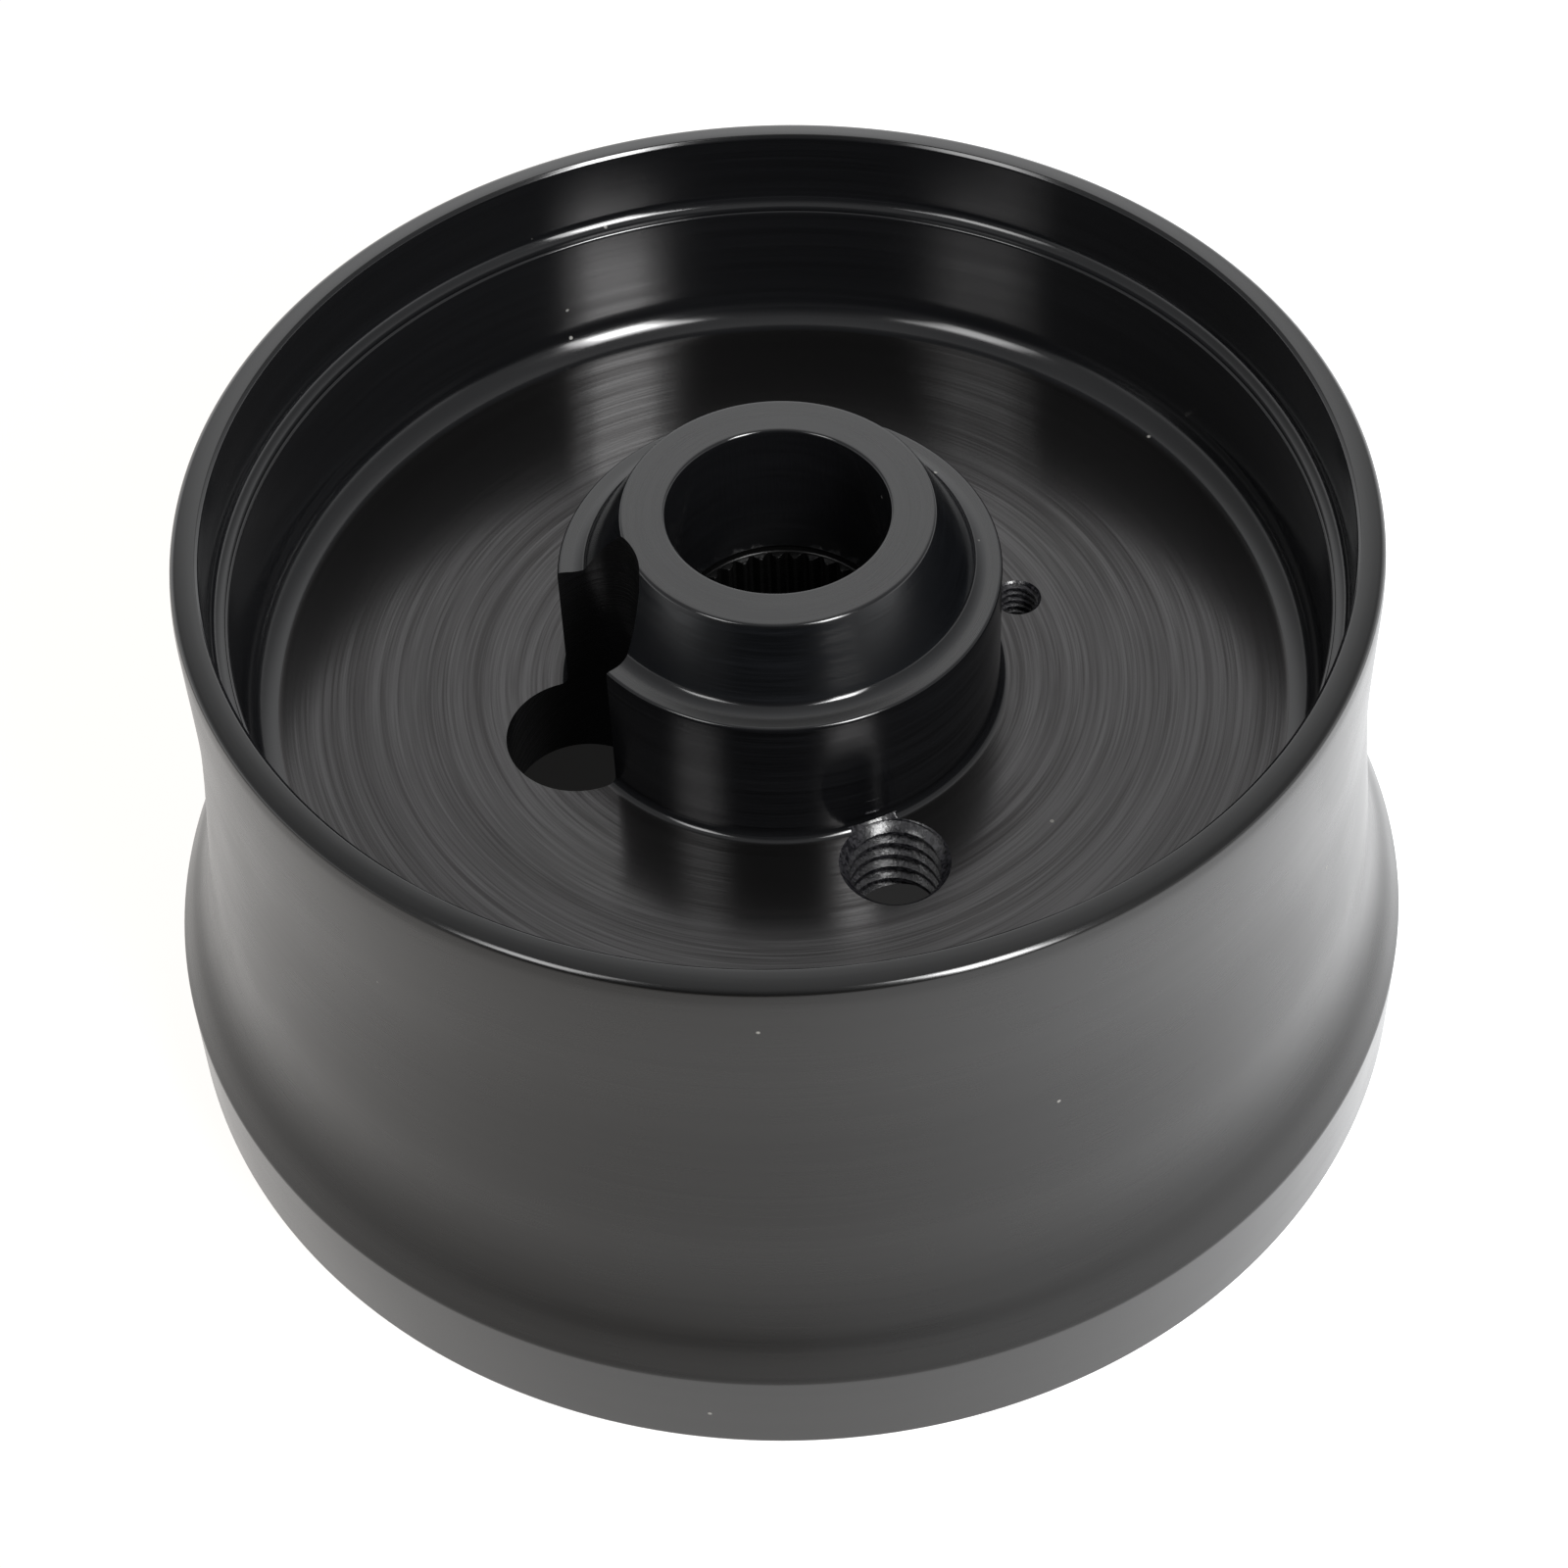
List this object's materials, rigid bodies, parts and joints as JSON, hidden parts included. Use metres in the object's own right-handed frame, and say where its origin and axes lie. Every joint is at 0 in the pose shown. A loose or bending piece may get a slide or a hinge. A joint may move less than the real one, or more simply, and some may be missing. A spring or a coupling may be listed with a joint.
{
  "type": "splined drum hub",
  "caption": "Concave-sided drum hub with an open annular channel, a stepped boss with a splined bore, tapped web holes and a flanged base.",
  "frame": {"origin": "centre of the flange face that the hub rests on", "axes": "+Z along the bore axis from the flange face to the open rim, +X towards the small tapped hole of the web, the two large tapped holes on +Y and -Y, the pocket towards -X"},
  "size_m": [0.114, 0.114, 0.0566],
  "materials": {
    "hub_anodised": "black anodised, fine turned finish, satin",
    "bush_steel": "black oxide steel with broached teeth"
  },
  "bodies": {
    "root": {"hub_body": "hub_anodised", "spline_bush": "bush_steel"}
  },
  "joints": []
}
